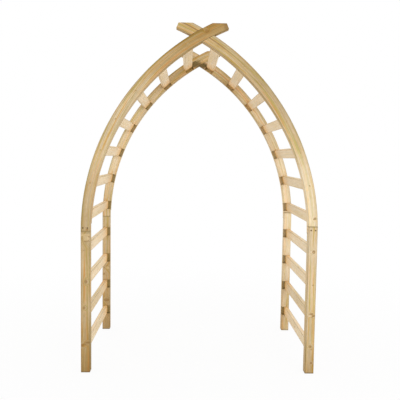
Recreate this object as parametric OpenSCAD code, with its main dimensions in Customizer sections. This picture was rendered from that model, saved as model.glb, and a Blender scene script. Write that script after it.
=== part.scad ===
// Gothic garden arch in planed softwood.
// Two crossed-rafter frames stand one behind the other and carry flat slats between them.
// X runs across the walkway, Y along it and Z up.
// The origin is on the ground, in the middle of the four feet.

/* [Overall] */
// Width over the outer faces of the posts
overall_w = 1500; // [1300:10:1800]
// Depth over the outer faces of the two frames
overall_d = 960; // [700:10:1300]

/* [Posts] */
// Face width of a post, across the walkway
post_w = 57; // [52:1:90]
// Thickness of posts and rafters, along the walkway
timber_t = 60; // [54:1:90]
// Height of a post's shoulder, where the rafter's curve springs
spring_h = 910; // [800:5:1200]
// Height of the half lap between a post and its rafter
lap_h = 46; // [30:1:80]

/* [Rafters] */
// Radius of a rafter's outer curve
rafter_r = 1448; // [1300:1:1700]
// Face width of a rafter at its foot
rafter_w = 59; // [55:1:90]
// Drop of the inner curve's centre, which deepens the rafter towards its tip
curve_drop = 14; // [0:1:30]
// Length of outer curve that runs on past the crossing
tip_reach = 149; // [120:1:220]
// Height cut off the top corner of each tip, which leaves a level flat
tip_cut = 34; // [20:1:45]

/* [Slats] */
// Width of a slat's broad face
slat_w = 65; // [45:1:80]
// Thickness of a slat
slat_t = 27; // [15:1:30]
// Height of the lowest slat's underside
first_slat_h = 127; // [60:1:220]
// Clear post above the top slat on a leg, up to the shoulder
shoulder_gap = 87; // [40:1:120]
// Clear inner edge between the half lap and the lowest slat on the curve
lap_gap = 12; // [8:1:60]
// Clear inner edge between the top slat and the crossing
apex_gap = 50; // [30:1:120]
// How far a slat's face sits back from the inner edge of the frame
slat_recess = 22; // [5:1:24]
// How far a slat's end is let into the frame
let_in = 30; // [15:1:40]

/* [Screws] */
// Shank diameter of every screw
screw_d = 5; // [4:0.5:6]
// Length of a screw into a slat's end
slat_screw_l = 80; // [60:5:100]
// Length of a screw through a half lap
lap_screw_l = 50; // [40:5:55]
// Distance between the two screws of a half lap
lap_screw_gap = 29; // [16:1:36]
// Distance between the two screws of the crossing
apex_screw_gap = 44; // [20:1:56]
// Depth of a screw's head below the timber's face
screw_sink = 1; // [0.5:0.5:3]

/* [Finish and Fits] */
// Width of the chamfer that eases the long edges of posts and rafters
edge_c = 3; // [1:0.5:6]
// Width of the chamfer that eases the long edges of the slats
slat_edge_c = 2; // [1:0.5:4]
// Clearance beside each edge of a slat in its housing, and before its face in a closed one
slat_fit = 0.3; // [0.1:0.1:1]
// Clearance beside each edge of a rafter in the halving where two rafters cross
cross_fit = 0.2; // [0.1:0.1:1]
// Clearance round a screw in its hole
screw_fit = 0.15; // [0.1:0.05:0.4]

/* [Hidden] */
leg_slats = 4;
curve_slats = 7;
slat_count = leg_slats + curve_slats;
SIDES = ["left", "right"];
FRAMES = ["front", "rear"];
LEFT = -1;
RIGHT = 1;
half_w = overall_w / 2;
half_t = timber_t / 2;
front_y = -overall_d / 2;
post_color = [0.76, 0.63, 0.44];
rafter_color = [0.80, 0.68, 0.46];
slat_color = [0.92, 0.83, 0.68];
screw_color = [0.45, 0.40, 0.32];
over = 2;
round_fn = 360;
hole_fn = 32;

// The curves are struck on the far side of the middle line
curve_x = rafter_r - half_w;
inner_r = rafter_r - rafter_w;
inner_z = spring_h - curve_drop;
cross_angle = acos(curve_x / rafter_r);
tip_angle = cross_angle + tip_reach / rafter_r * 180 / PI;
tip_z = spring_h + rafter_r * sin(tip_angle) - tip_cut;
outer_cross_z = spring_h + sqrt(pow(rafter_r, 2) - pow(curve_x, 2));
inner_cross_z = inner_z + sqrt(pow(inner_r, 2) - pow(curve_x, 2));
cross_z = (outer_cross_z + inner_cross_z) / 2;

// Slat places: heights on the leg, then angles round the inner curve's centre
leg_low = first_slat_h + slat_w / 2;
leg_high = spring_h - shoulder_gap - slat_w / 2;
function leg_z(k) = leg_low + k * (leg_high - leg_low) / (leg_slats - 1);
curve_low = asin((lap_h + curve_drop) / inner_r) + (lap_gap + slat_w / 2) / inner_r * 180 / PI;
curve_high = acos(curve_x / inner_r) - (apex_gap + slat_w / 2) / inner_r * 180 / PI;
function curve_angle(k) = curve_low + k * (curve_high - curve_low) / (curve_slats - 1);

// Housing depth from the frame's inner edge, and how far before that edge an open one starts
housing_d = slat_recess + slat_t;
mouth = 2 * edge_c + over;
slat_l = overall_d - 2 * (timber_t - let_in);

// Screw proportions
head_d = 2 * screw_d;
head_h = 0.65 * screw_d;
point_l = 1.2 * screw_d;
point_d = 0.2 * screw_d;
drive_l = 1.2 * screw_d;
drive_w = 0.22 * screw_d;
drive_d = 0.6 * head_h;
lap_screw_z = spring_h + lap_h / 2;

// Section of a post or a slat with eased edges, from the origin to [w, h]
module eased_rectangle(w, h, c) {
    polygon([[c, 0], [w - c, 0], [w, c], [w, h - c], [w - c, h], [c, h], [0, h - c], [0, c]]);
}

// Section from the axis of the outer curve out to its eased edges
module rim_section() {
    polygon([
        [0, 0], [rafter_r - edge_c, 0], [rafter_r, edge_c],
        [rafter_r, timber_t - edge_c], [rafter_r - edge_c, timber_t], [0, timber_t]
    ]);
}

// Section of the space inside the inner curve, flared where it eases the rafter's edges
module hollow_section() {
    flare_r = inner_r + edge_c + over;
    polygon([
        [0, -over], [flare_r, -over], [inner_r, edge_c],
        [inner_r, timber_t - edge_c], [flare_r, timber_t + over], [0, timber_t + over]
    ]);
}

// Turns a section about the centre line of a curve, at height z, upwards from the level
module turned(z, sweep) {
    translate([-curve_x, front_y, z]) rotate([-90, 0, 0]) rotate([0, 0, -sweep])
        rotate_extrude(angle = sweep, $fn = round_fn) children();
}

// Plain band of a rafter with its clearance, in the X-Z plane, to cut the halving with
module rafter_band() {
    difference() {
        translate([-curve_x, spring_h]) circle(r = rafter_r + cross_fit, $fn = round_fn);
        translate([-curve_x, inner_z]) circle(r = inner_r - cross_fit, $fn = round_fn);
    }
}

// Extrudes a drawing of the X-Z plane through the half of the frame that is cut away
module halving(keeps_front) {
    translate([0, front_y + (keeps_front ? timber_t + over : half_t), 0]) rotate([90, 0, 0])
        linear_extrude(height = half_t + over) children();
}

// Puts children on the right leg or curve: local X points out from the frame's inner edge
module at_slat(k) {
    if (k < leg_slats)
        translate([half_w - post_w, 0, leg_z(k)]) children();
    else
        translate([-curve_x, 0, inner_z]) rotate([0, -curve_angle(k - leg_slats), 0])
            translate([inner_r, 0, 0]) children();
}

// A countersunk screw that points along +Y, its head's face at y = 0, and the hole it needs
module screw(length) {
    rotate([-90, 0, 0]) difference() {
        union() {
            cylinder(d1 = head_d, d2 = screw_d, h = head_h, $fn = hole_fn);
            cylinder(d = screw_d, h = length - point_l, $fn = hole_fn);
            translate([0, 0, length - point_l])
                cylinder(d1 = screw_d, d2 = point_d, h = point_l, $fn = hole_fn);
        }
        for (a = [0, 90]) rotate([0, 0, a])
            translate([-drive_l / 2, -drive_w / 2, -over]) cube([drive_l, drive_w, over + drive_d]);
    }
}

module screw_hole(length) {
    rotate([-90, 0, 0]) {
        translate([0, 0, -screw_sink - over])
            cylinder(d = head_d + 2 * screw_fit, h = screw_sink + over, $fn = hole_fn);
        cylinder(d1 = head_d + 2 * screw_fit, d2 = screw_d + 2 * screw_fit, h = head_h, $fn = hole_fn);
        cylinder(d = screw_d + 2 * screw_fit, h = length + screw_fit, $fn = hole_fn);
    }
}

// Screws are placed by these for both the hole and the screw itself
module at_slat_screw(k) {
    at_slat(k) translate([slat_recess + slat_t / 2, front_y + screw_sink, 0]) children();
}

module at_lap_screws() {
    for (dx = [-lap_screw_gap / 2, lap_screw_gap / 2])
        translate([half_w - post_w / 2 + dx, front_y + screw_sink, lap_screw_z]) children();
}

module at_crossing_screws() {
    for (dx = [-apex_screw_gap / 2, apex_screw_gap / 2])
        translate([dx, front_y + timber_t - screw_sink, cross_z]) rotate([0, 0, 180]) children();
}

// Housing cut into the frame's inward face for a slat's end. An open one runs out through
// the frame's inner edge, and a closed one starts just before the slat's face.
module housing(k, open) {
    start = open ? -mouth : slat_recess - slat_fit;
    at_slat(k) translate([start, front_y + timber_t - let_in, -slat_w / 2 - slat_fit])
        cube([housing_d - start, let_in + over, slat_w + 2 * slat_fit]);
}

// Everything that is cut out of the front right leg, posts and rafters alike
module frame_cuts(open) {
    for (k = [0 : slat_count - 1]) {
        housing(k, open);
        at_slat_screw(k) screw_hole(slat_screw_l);
    }
    at_lap_screws() screw_hole(lap_screw_l);
}

// Half of the frame's thickness, as a block from z0 to z1 at the foot of the curve
module half_thickness(front, z0, z1) {
    y0 = front_y + (front ? -over : half_t);
    translate([0, y0, z0]) cube([overall_w, half_t + over, z1 - z0]);
}

// Right post of the front frame. Its tongue is the half of its thickness that runs up past
// the shoulder.
module post(tongue_in_front, open) {
    color(post_color) difference() {
        translate([half_w - post_w, front_y, 0])
            linear_extrude(height = spring_h + lap_h) eased_rectangle(post_w, timber_t, edge_c);
        half_thickness(!tongue_in_front, spring_h, spring_h + lap_h + over);
        frame_cuts(open);
    }
}

// Right rafter of the front frame. It fills what the post's tongue leaves, and at the
// crossing it keeps its front or its rear half.
module rafter(tongue_in_front, keeps_front, open) {
    color(rafter_color) difference() {
        turned(spring_h, tip_angle) rim_section();
        turned(inner_z, 360) hollow_section();
        half_thickness(!tongue_in_front, spring_h - over, spring_h + lap_h);
        translate([-overall_w, front_y - over, tip_z])
            cube([2 * overall_w, timber_t + 2 * over, rafter_r]);
        halving(keeps_front) intersection() {
            mirror([1, 0]) rafter_band();
            translate([-half_w / 2, inner_z]) square([half_w, rafter_r]);
        }
        frame_cuts(open);
        at_crossing_screws() screw_hole(lap_screw_l);
    }
}

module slat(k) {
    color(slat_color) difference() {
        at_slat(k) translate([housing_d - slat_t, slat_l / 2, -slat_w / 2]) rotate([90, 0, 0])
            linear_extrude(height = slat_l) eased_rectangle(slat_t, slat_w, slat_edge_c);
        for (end = [0, 1]) mirror([0, end, 0]) at_slat_screw(k) screw_hole(slat_screw_l);
    }
}

// The left leg mirrors the right one, and the rear frame is the front frame turned about Z,
// so both show their outer faces outwards. Only the rear frame's housings are open.
module on_side(side) {
    if (side == RIGHT) children();
    else mirror([1, 0, 0]) children();
}

module in_frame(rear) {
    rotate([0, 0, rear ? 180 : 0]) children();
}

// Turning the front frame round swaps its sides, so a rear piece is made from the front
// piece of the other side
module frame_post(rear, side) {
    made = rear ? -side : side;
    in_frame(rear) on_side(made) post(made == RIGHT, rear);
}

module frame_rafter(rear, side) {
    made = rear ? -side : side;
    in_frame(rear) on_side(made) rafter(made == LEFT, made == LEFT, rear);
}

module slat_screws(rear, side) {
    made = rear ? -side : side;
    color(screw_color) in_frame(rear) on_side(made)
        for (k = [0 : slat_count - 1]) at_slat_screw(k) screw(slat_screw_l);
}

module lap_screws(rear) {
    color(screw_color) in_frame(rear)
        for (side = [LEFT, RIGHT]) on_side(side) at_lap_screws() screw(lap_screw_l);
}

module crossing_screws(rear) {
    color(screw_color) in_frame(rear) at_crossing_screws() screw(lap_screw_l);
}

for (f = [0, 1]) for (s = [0, 1]) {
    rear = f == 1;
    side = s == 1 ? RIGHT : LEFT;
    name = str(FRAMES[f], "_", SIDES[s]);
    frame_post(rear, side);
    frame_rafter(rear, side);
    slat_screws(rear, side);
}
for (s = [0, 1]) for (k = [1 : slat_count])
    on_side(s == 1 ? RIGHT : LEFT) slat(k - 1);
for (f = [0, 1]) {
    lap_screws(f == 1);
    crossing_screws(f == 1);
}
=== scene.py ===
# %% [markdown]
# A pointed garden arch in planed softwood: two frames of posts and curved rafters, joined
# by flat slats that run from front to back. The packed CAD model is the fixed frame. Each
# step below makes one kind of piece around it, finishes it as timber or steel, and puts it
# exactly where the CAD solid stands.

# %% Load the packed model
import math
import random

import bmesh
import bpy
import numpy as np
from mathutils import Matrix, Vector


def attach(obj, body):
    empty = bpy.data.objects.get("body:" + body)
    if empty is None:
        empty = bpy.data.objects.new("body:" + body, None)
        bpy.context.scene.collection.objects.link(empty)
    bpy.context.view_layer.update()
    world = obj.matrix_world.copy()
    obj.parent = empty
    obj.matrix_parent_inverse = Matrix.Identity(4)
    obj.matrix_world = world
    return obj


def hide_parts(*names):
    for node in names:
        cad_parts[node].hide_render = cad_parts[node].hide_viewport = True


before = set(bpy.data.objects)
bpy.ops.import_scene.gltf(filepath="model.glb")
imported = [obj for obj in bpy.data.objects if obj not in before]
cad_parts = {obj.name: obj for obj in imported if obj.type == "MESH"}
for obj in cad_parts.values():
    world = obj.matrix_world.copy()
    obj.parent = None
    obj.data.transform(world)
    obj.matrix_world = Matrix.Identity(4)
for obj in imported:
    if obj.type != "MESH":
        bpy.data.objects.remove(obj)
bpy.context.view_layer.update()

# %% [markdown]
# The sizes are those of the joinery, in metres, with X across the walkway, Y along it and
# Z up. A rafter's outer curve is struck from a point on the far side of the middle line,
# level with the top of the post. Its inner curve is struck a little lower, so the rafter
# gets deeper towards its tip. Angles are measured up from the level at that point.

# %% Sizes of the arch
HALF_WIDTH = 0.75
FRONT_FACE = -0.48
TIMBER = 0.060
MIDDLE = FRONT_FACE + TIMBER / 2
BACK_FACE = FRONT_FACE + TIMBER
POST_WIDTH = 0.057
POST_INNER = HALF_WIDTH - POST_WIDTH
POST_MIDDLE = HALF_WIDTH - POST_WIDTH / 2
SPRING_HEIGHT = 0.910
LAP_HEIGHT = 0.046
LAP_MIDDLE = SPRING_HEIGHT + LAP_HEIGHT / 2
SHOULDER = SPRING_HEIGHT + LAP_HEIGHT
OUTER_RADIUS = 1.448
RAFTER_WIDTH = 0.059
INNER_DROP = 0.014
TIP_REACH = 0.149
TIP_CUT = 0.034

CURVE_X = HALF_WIDTH - OUTER_RADIUS
INNER_RADIUS = OUTER_RADIUS - RAFTER_WIDTH
INNER_HEIGHT = SPRING_HEIGHT - INNER_DROP
CROSS_ANGLE = math.acos(-CURVE_X / OUTER_RADIUS)
TIP_ANGLE = CROSS_ANGLE + TIP_REACH / OUTER_RADIUS
TOP_HEIGHT = SPRING_HEIGHT + OUTER_RADIUS * math.sin(TIP_ANGLE) - TIP_CUT
print("tips at", round(math.degrees(TIP_ANGLE), 2), "degrees, top at", round(TOP_HEIGHT, 4))

# %% [markdown]
# Four slats stand on each leg at equal steps of height, and seven lie on each curve at
# equal steps of angle, from just above the lap to just short of the crossing. They sit
# back from the frame's inner edge.

# %% Sizes of the slats
SLAT_WIDTH = 0.065
SLAT_THICKNESS = 0.027
SLAT_LENGTH = 0.900
SLAT_RECESS = 0.022
SLAT_FIT = 0.0003
SLAT_MIDDLE = SLAT_RECESS + SLAT_THICKNESS / 2
LEG_SLATS = 4
CURVE_SLATS = 7
LOWEST_SLAT = 0.1595
HIGHEST_LEG_SLAT = 0.7905
LEG_PITCH = (HIGHEST_LEG_SLAT - LOWEST_SLAT) / (LEG_SLATS - 1)
LAP_GAP = 0.012
APEX_GAP = 0.050
SHOULDER_ANGLE = math.asin((LAP_HEIGHT + INNER_DROP) / INNER_RADIUS)
FIRST_ANGLE = SHOULDER_ANGLE + (LAP_GAP + SLAT_WIDTH / 2) / INNER_RADIUS
LAST_ANGLE = math.acos(-CURVE_X / INNER_RADIUS) - (APEX_GAP + SLAT_WIDTH / 2) / INNER_RADIUS
ANGLE_PITCH = (LAST_ANGLE - FIRST_ANGLE) / (CURVE_SLATS - 1)
first_and_last = [round(math.degrees(angle), 2) for angle in (FIRST_ANGLE, LAST_ANGLE)]
print("first and last slat on the curve at", first_and_last, "degrees")

# %% [markdown]
# The arch has four corners, each known by its end and its side. Written as +1 and -1, they
# also say which way a piece is mirrored from the front right corner, where it is made.

# %% Corners
LEFT, RIGHT = -1, 1
FRONT, REAR = 1, -1
CORNERS = [(end, side) for end in (FRONT, REAR) for side in (LEFT, RIGHT)]


def leg_name(end, side):
    """The words that start the names of a leg's pieces, such as front_left."""
    return f"{'front' if end == FRONT else 'rear'}_{'left' if side == LEFT else 'right'}"


print("corners:", [leg_name(*corner) for corner in CORNERS])

# %% [markdown]
# Both the materials and the Geometry Nodes are built as trees of nodes. One small class
# wraps a node's output, so that sums can be written as sums and Python adds the Math
# nodes. The reflected operators are there so that 1 - value works as value - 1 does.

# %% Sums that add Math nodes
def operator(operation, reflected=False):
    """One operator of the class below, as a method that adds a Math node."""
    if reflected:
        return lambda value, other: value.bench.maths(operation, other, value)
    return lambda value, other: value.bench.maths(operation, value, other)


class Value:
    """A node's output. Arithmetic on it adds Math nodes to its tree."""

    def __init__(self, bench, socket):
        self.bench = bench
        self.socket = socket

    __add__, __radd__ = operator("ADD"), operator("ADD", reflected=True)
    __sub__, __rsub__ = operator("SUBTRACT"), operator("SUBTRACT", reflected=True)
    __mul__, __rmul__ = operator("MULTIPLY"), operator("MULTIPLY", reflected=True)
    __truediv__ = operator("DIVIDE")
    __pow__ = operator("POWER")

    def part(self, axis):
        """The x, y or z of a vector, as axis 0, 1 or 2."""
        return self.bench.node("ShaderNodeSeparateXYZ", inputs={0: self}, output=axis)


print("a value can do", [name for name in vars(Value) if callable(vars(Value)[name])])

# %% [markdown]
# Every other node comes from one method of the bench that a tree is built on. It takes the
# node's type, its settings, and what goes into its sockets. The methods after it are short
# names for the nodes that this scene needs most.

# %% A bench for building node trees
class Bench:
    """A node tree that is being built."""

    def __init__(self, tree):
        self.tree = tree

    def node(self, kind, settings=None, inputs=None, output=0):
        """Adds a node: settings first, then a number, a link or a list of links for a socket."""
        new = self.tree.nodes.new(kind)
        for name, setting in (settings or {}).items():
            setattr(new, name, setting)
        for name, given in (inputs or {}).items():
            if isinstance(name, int):
                socket = new.inputs[name]
            else:
                socket = next(s for s in new.inputs if name in (s.identifier, s.name))
            for one in given if isinstance(given, list) else [given]:
                if isinstance(one, Value):
                    self.tree.links.new(one.socket, socket)
                else:
                    socket.default_value = one
        return Value(self, new.outputs[output]) if new.outputs else None

    def maths(self, operation, *terms):
        return self.node("ShaderNodeMath", {"operation": operation}, dict(enumerate(terms)))

    def vector_maths(self, operation, *terms, output=0):
        settings, inputs = {"operation": operation}, dict(enumerate(terms))
        return self.node("ShaderNodeVectorMath", settings, inputs, output)

    def vector(self, x, y, z):
        return self.node("ShaderNodeCombineXYZ", inputs={0: x, 1: y, 2: z})

    def smooth(self, value, low, high):
        """Rises smoothly from 0 at low to 1 at high."""
        return self.node(
            "ShaderNodeMapRange",
            {"interpolation_type": "SMOOTHSTEP"},
            {0: value, 1: low, 2: high, 3: 0.0, 4: 1.0},
        )

    def falls(self, value, low, high):
        """Falls smoothly from 1 at low to 0 at high."""
        return 1 - self.smooth(value, low, high)

    def noise(self, place, detail=2.0, roughness=0.5, output="Fac", scale=1.0):
        """A cloudy pattern from 0 to 1, or three of them as the output Color."""
        sizes = {"Vector": place, "Scale": scale, "Detail": detail, "Roughness": roughness}
        return self.node("ShaderNodeTexNoise", inputs=sizes, output=output)

    def mix(self, amount, first, second, blend="MIX"):
        return self.node(
            "ShaderNodeMix",
            {"data_type": "RGBA", "blend_type": blend},
            {"Factor_Float": amount, "A_Color": first, "B_Color": second},
            output=2,
        )

    def bump(self, strength, distance, height):
        sizes = {"Strength": strength, "Distance": distance, "Height": height}
        return self.node("ShaderNodeBump", inputs=sizes)

    def surface(self, colour, roughness, normal, others):
        """Ends a material in the standard shader."""
        coats = {"Base Color": colour, "Roughness": roughness, "Normal": normal, **others}
        shader = self.node("ShaderNodeBsdfPrincipled", inputs=coats)
        self.node("ShaderNodeOutputMaterial", inputs={"Surface": shader})


print("a bench can do", [name for name in vars(Bench) if callable(vars(Bench)[name])])

# %% [markdown]
# A Geometry Nodes tree is worth building in the script when the same shape is needed in
# several sizes: its sizes are named inputs, and each piece sets them to its own. Every
# tree starts and ends in the same way, so both ends are made here.

# %% Starting and ending a tree
def empty_tree(owner):
    """Turns on the nodes of a material or a world, and clears its tree."""
    owner.use_nodes = True
    owner.node_tree.nodes.clear()
    return owner.node_tree


def geometry_bench(name, sizes):
    """A Geometry Nodes tree with named inputs. Returns its bench and the inputs' values."""
    tree = bpy.data.node_groups.new(name, "GeometryNodeTree")
    tree.interface.new_socket("Geometry", in_out="OUTPUT", socket_type="NodeSocketGeometry")
    kinds = {"Geometry": "Geometry", **dict.fromkeys(sizes, "Float"), "Finish": "Material"}
    for size, kind in kinds.items():
        tree.interface.new_socket(size, in_out="INPUT", socket_type="NodeSocket" + kind)
    bench = Bench(tree)
    entry = tree.nodes.new("NodeGroupInput")
    return bench, {socket.name: Value(bench, socket) for socket in entry.outputs if socket.name}


def finish_tree(bench, geometry, finish):
    """Ends a tree in real mesh, because instances aren't exported, and in its material."""
    real = bench.node("GeometryNodeRealizeInstances", inputs={"Geometry": geometry})
    coated = bench.node("GeometryNodeSetMaterial", inputs={"Geometry": real, "Material": finish})
    way_out = bench.tree.nodes.new("NodeGroupOutput")
    bench.tree.links.new(coated.socket, way_out.inputs[0])
    return bench.tree


print("trees so far:", len(bpy.data.node_groups))

# %% [markdown]
# A tree does nothing until a modifier runs it on an object. Blender knows an input by its
# socket's identifier, so its name is looked up in the tree. The result is turned into a
# plain mesh and the modifier goes, because the exported model can't hold a live one.

# %% Running a tree on a piece
def new_object(name, data):
    """An object at the origin that holds a mesh, a lamp or a camera."""
    piece = bpy.data.objects.new(name, data)
    bpy.context.collection.objects.link(piece)
    return piece


def settle(piece):
    """Replaces a piece's mesh by what its modifiers make of it, and removes them."""
    graph = bpy.context.evaluated_depsgraph_get()
    made = bpy.data.meshes.new_from_object(
        piece.evaluated_get(graph), preserve_all_data_layers=True, depsgraph=graph
    )
    piece.modifiers.clear()
    piece.data = made
    return piece


def from_tree(name, tree, settings, start=None):
    """Runs a tree on a new object and turns the result into a plain mesh."""
    piece = new_object(name, start or bpy.data.meshes.new(name))
    modifier = piece.modifiers.new(name, "NODES")
    modifier.node_group = tree
    for item in tree.interface.items_tree:
        if item.in_out == "INPUT" and item.name in settings:
            modifier[item.identifier] = settings[item.name]
    return settle(piece)


# %% [markdown]
# Colours are written as they look on a screen, from 0 to 255, and turned into the linear
# values that the shader works in. A stain is a colour that another one is multiplied by.

# %% Colours
def colour(red, green, blue):
    """A screen colour as linear red, green, blue and alpha."""
    channels = [c / 255 for c in (red, green, blue)]
    linear = [c / 12.92 if c <= 0.04045 else ((c + 0.055) / 1.055) ** 2.4 for c in channels]
    return (*linear, 1.0)


DARK_TIMBER = colour(178, 150, 95)
PALE_TIMBER = colour(254, 240, 214)
LATE_WOOD = colour(224, 194, 144)
PINK_STREAK = colour(254, 228, 202)
ORANGE_STREAK = colour(252, 227, 160)
OLIVE_STREAK = colour(226, 228, 168)
KNOT_RIM = colour(172, 130, 66)
KNOT_HEART = colour(126, 88, 38)
GLUE_LINE = colour(132, 100, 60)
OUTER_EDGE_GREY = colour(194, 192, 160)
ARRIS_TINT = colour(196, 192, 178)
DAMP_FOOT = colour(230, 218, 198)
EARTH_AND_SHADE = colour(112, 96, 72)
SAWN_END = colour(196, 184, 152)
DARK_OLIVE = colour(136, 120, 68)
JOINT_SHADOW = colour(138, 118, 72)
CROSSING_SHADE = colour(94, 75, 30)
WARM_BOUNCE_LIGHT = colour(252, 226, 188)
LET_IN_END = colour(236, 226, 184)
FRESH_WOOD = colour(232, 204, 154)
WHORL_RIM = colour(150, 112, 58)
print("pale timber is", tuple(round(c, 3) for c in PALE_TIMBER))

# %% [markdown]
# The timber is planed softwood with a faint olive tint from its treatment. A picture of
# wood would stretch over a curved rafter and repeat, so the wood is worked out in three
# dimensions, as a log is. Every piece carries an attribute named grain, which gives each
# point's distance along the grain, across it and through it. On a rafter the first number
# runs along the curve, so the stripes bend with it. The attribute stick is a number of the
# piece's own, which moves it to another part of the log. The finish is built up in coats:
# each one covers or stains the colour so far.

# %% A bench for timber
STEP_IN_LOG = (17.3, 3.1, 1.7)


class TimberBench(Bench):
    """The node tree of one timber finish, and the colour that it has so far."""

    def __init__(self, name):
        self.material = bpy.data.materials.new(name)
        super().__init__(empty_tree(self.material))
        self.grain = self.attribute("grain", "Vector")
        self.along, self.across, self.through = [self.grain.part(axis) for axis in range(3)]
        self.stick = self.attribute("stick")
        self.spot = self.node("ShaderNodeTexCoord", output="Object")
        moved = self.vector(*[self.stick * step for step in STEP_IN_LOG])
        self.in_log = self.vector_maths("ADD", self.grain, moved)

    def attribute(self, title, output="Fac"):
        return self.node("ShaderNodeAttribute", {"attribute_name": title}, output=output)

    def stretched(self, lengthways, crossways):
        """The place in the log, for a pattern this fine along the grain and across it."""
        return self.vector_maths("MULTIPLY", self.in_log, (lengthways, crossways, crossways))

    def nearest_of(self, places):
        """Distance from the nearest place, as 0 at its middle and 1 at its rim."""
        nearest = None
        for centre, radii in places:
            offset = self.vector_maths("SUBTRACT", self.spot, centre)
            scaled = self.vector_maths("MULTIPLY", offset, tuple(1 / r for r in radii))
            distance = self.vector_maths("LENGTH", scaled, output="Value")
            nearest = distance if nearest is None else self.maths("MINIMUM", nearest, distance)
        return nearest

    def coat(self, amount, tint):
        """Covers the colour so far with a tint."""
        self.colour = self.mix(amount, self.colour, tint)

    def stain(self, amount, tint):
        """Multiplies the colour so far by a tint."""
        self.colour = self.mix(amount, self.colour, tint, "MULTIPLY")


print("each stick moves in the log by its own number times", STEP_IN_LOG)

# %% [markdown]
# The rings are distances from a pith that lies outside the piece, so the faces get long
# stripes and the sawn ends get arcs. The rings sway along the log and part round a knot.
# Late wood is the dark end of each ring. Pink, orange and olive streaks follow the rings
# too, so they read the same distance. The attribute tone says how pale the timber is, and
# the palest timber shows its streaks least.

# %% Rings and streaks
PITH_DRIFT = 0.02
RING_SWAY = 0.034
RING_WOBBLE = 0.0035
KNOT_BULGE = 0.020
# channel of the noise, where a streak starts and is full, its strength and its colour
STREAKS = (
    (0, 0.51, 0.68, 0.90, PINK_STREAK),
    (1, 0.50, 0.67, 0.66, ORANGE_STREAK),
    (2, 0.48, 0.64, 0.80, OLIVE_STREAK),
)


def draw_rings(wood, pith, ring, knots):
    """Finds each point's depth in the rings, and where the late wood is."""
    wood.sway = wood.noise(wood.stretched(1.3, 6.0), 1.0) - 0.5
    wood.wobble = wood.noise(wood.stretched(5.0, 38.0)) - 0.5
    beside = wood.across - pith[0]
    behind = wood.through - pith[1] - wood.stick * PITH_DRIFT
    from_pith = (beside ** 2.0 + behind ** 2.0) ** 0.5
    depth = from_pith + wood.sway * RING_SWAY + wood.wobble * RING_WOBBLE
    wood.depth = depth + KNOT_BULGE * wood.falls(wood.nearest_of(knots), 0.4, 3.2)
    turn = wood.maths("FRACT", wood.depth / ring)
    wood.late = wood.smooth(turn, 0.30, 0.90) * wood.falls(turn, 0.94, 1.0)


def colour_wood(wood, streaky):
    """Lays on the timber's tone, then its late wood, streaks, warm mottle and shade."""
    place = wood.vector(wood.in_log.part(0) * 2.2, wood.depth * 105.0, wood.stick * 9.0)
    streaks = wood.noise(place, 3.0, 0.6, "Color")
    wood.broad = wood.noise(place, 3.0, 0.65)
    wood.patches = wood.noise(wood.stretched(3.0, 11.0), 2.0)
    wood.fibre = wood.noise(wood.stretched(9.0, 900.0), 2.0, 0.7)
    wood.fleck = wood.smooth(wood.noise(wood.stretched(22.0, 420.0)), 0.62, 0.78)
    mottle = wood.noise(wood.stretched(34.0, 120.0), 3.0, 0.6, "Color")

    tone = wood.attribute("tone")
    vivid = streaky * (1 - 0.55 * wood.smooth(tone, 0.6, 1.0))
    wood.colour = DARK_TIMBER
    wood.coat(tone + (wood.patches - 0.5) * 0.6, PALE_TIMBER)
    wood.stain(wood.late * 0.60, LATE_WOOD)
    for channel, start, full, strength, tint in STREAKS:
        wood.stain(wood.smooth(streaks.part(channel), start, full) * vivid * strength, tint)
    wood.stain(wood.smooth(mottle.part(1), 0.48, 0.66) * 0.30, ORANGE_STREAK)
    shade = 1.0 + 0.70 * streaky * (wood.broad - 0.5)
    shade = shade * (0.94 + 0.12 * wood.fibre) * (1 - 0.10 * wood.fleck)
    shade = shade * (1.0 + 0.34 * (mottle.part(0) - 0.5))
    wood.colour = wood.vector_maths("MULTIPLY", wood.colour, wood.vector(shade, shade, shade))


print("streaks:", len(STREAKS), "colours, rings sway by up to", RING_SWAY / 2, "m")

# %% [markdown]
# The planed edges are darkened, so the distance from the nearest one is worked out. A
# rafter gets deeper towards its tip, and that is allowed for. A dark line as of glue runs
# along its curve: the attribute seam says how far in it lies, and seam_strength how dark
# it is at each point. Its outer edge is greyed. The slats get painted warm reflected light
# towards the back, and darker at the ends that are let into the frames.

# %% Edges, glue lines and slat ends
ARRIS = (0.001, 0.0065)
GLUE_SEAM = (0.0008, 0.0062)
OUTER_EDGE_BAND = (0.004, 0.024)
WARM_BOUNCE_FROM_TO = (0.12, 0.44)
LET_IN_FROM_TO = (0.400, 0.424)


def darken_edges(wood, section, curved):
    """Darkens the edges of a section, given as its middle, width and thickness."""
    middle, width, thickness = section
    half_width = width / 2
    if curved:
        half_width = half_width + 0.5 * INNER_DROP * wood.maths("SINE", wood.along / OUTER_RADIUS)
        middle = half_width
    off_middle = wood.maths("ABSOLUTE", wood.across - middle)
    from_edge = (half_width - off_middle) + (thickness / 2 - wood.maths("ABSOLUTE", wood.through))
    wood.stain(wood.falls(from_edge + wood.wobble * 0.004, *ARRIS) * 0.5, ARRIS_TINT)


def draw_glue_line(wood):
    """Draws a rafter's glue line and greys its outer edge."""
    off_line = wood.maths("ABSOLUTE", wood.across - wood.attribute("seam") - wood.sway * 0.012)
    seam = wood.falls(off_line, *GLUE_SEAM) * wood.smooth(wood.broad, 0.36, 0.54)
    wood.coat(seam * wood.attribute("seam_strength"), GLUE_LINE)
    wood.stain(wood.falls(wood.across, *OUTER_EDGE_BAND) * 0.35, OUTER_EDGE_GREY)


def tint_slat_ends(wood):
    """Paints warm reflected light on the slats towards the back, and darkens the ends in their
    housings.
    """
    back = wood.spot.part(1)
    # painted warm reflected light towards the back
    wood.stain(wood.smooth(back, *WARM_BOUNCE_FROM_TO) * 0.85, WARM_BOUNCE_LIGHT)
    wood.stain(wood.smooth(wood.maths("ABSOLUTE", back), *LET_IN_FROM_TO), LET_IN_END)


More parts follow.
